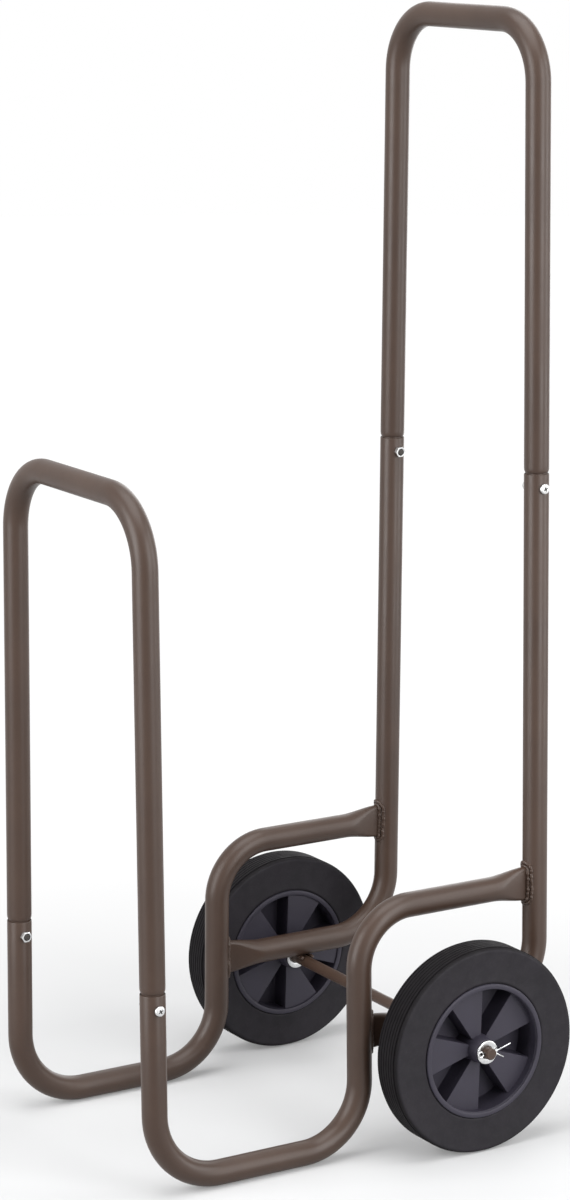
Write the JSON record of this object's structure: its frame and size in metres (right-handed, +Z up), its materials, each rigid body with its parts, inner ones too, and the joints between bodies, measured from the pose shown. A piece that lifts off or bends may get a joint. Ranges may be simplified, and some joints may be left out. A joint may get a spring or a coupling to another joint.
{
  "type": "log cart",
  "caption": "Two-wheeled cart of bent round tube with a low front hoop, a tall handle hoop and an open bay between its side frames for firewood.",
  "frame": {"origin": "on the floor under the middle of the object's bounding box", "axes": "+Z up, +Y towards the handle and wheels, +X to the right of someone who stands at the low hoop and faces the cart"},
  "size_m": [0.4312, 0.468, 1.1155],
  "materials": {
    "frame_paint": "satin bronze-brown powder coat",
    "tyre_rubber": "matt moulded rubber",
    "rim_plastic": "fine-grained moulded plastic",
    "zinc": "bright zinc plate"
  },
  "bodies": {
    "frame": {"front_hoop": "frame_paint", "handle_hoop": "frame_paint", "left_rail": "frame_paint", "right_rail": "frame_paint", "left_rear_upright": "frame_paint", "right_rear_upright": "frame_paint", "axle": "frame_paint", "left_inner_washer": "zinc", "right_inner_washer": "zinc", "left_outer_washer": "zinc", "right_outer_washer": "zinc", "left_split_pin": "zinc", "right_split_pin": "zinc", "front_left_bolt": "zinc", "front_right_bolt": "zinc", "rear_left_bolt": "zinc", "rear_right_bolt": "zinc", "front_left_nut": "zinc", "front_right_nut": "zinc", "rear_left_nut": "zinc", "rear_right_nut": "zinc"},
    "left_wheel": {"left_tyre": "tyre_rubber", "left_rim": "rim_plastic"},
    "right_wheel": {"right_tyre": "tyre_rubber", "right_rim": "rim_plastic"}
  },
  "joints": [
    {"name": "left_wheel_spin", "type": "hinge", "parent": "frame", "child": "left_wheel", "pos_m": [-0.1857, 0.1165, 0.105], "axis": [1, 0, 0], "continuous": true},
    {"name": "right_wheel_spin", "type": "hinge", "parent": "frame", "child": "right_wheel", "pos_m": [0.1857, 0.1165, 0.105], "axis": [1, 0, 0], "continuous": true}
  ]
}
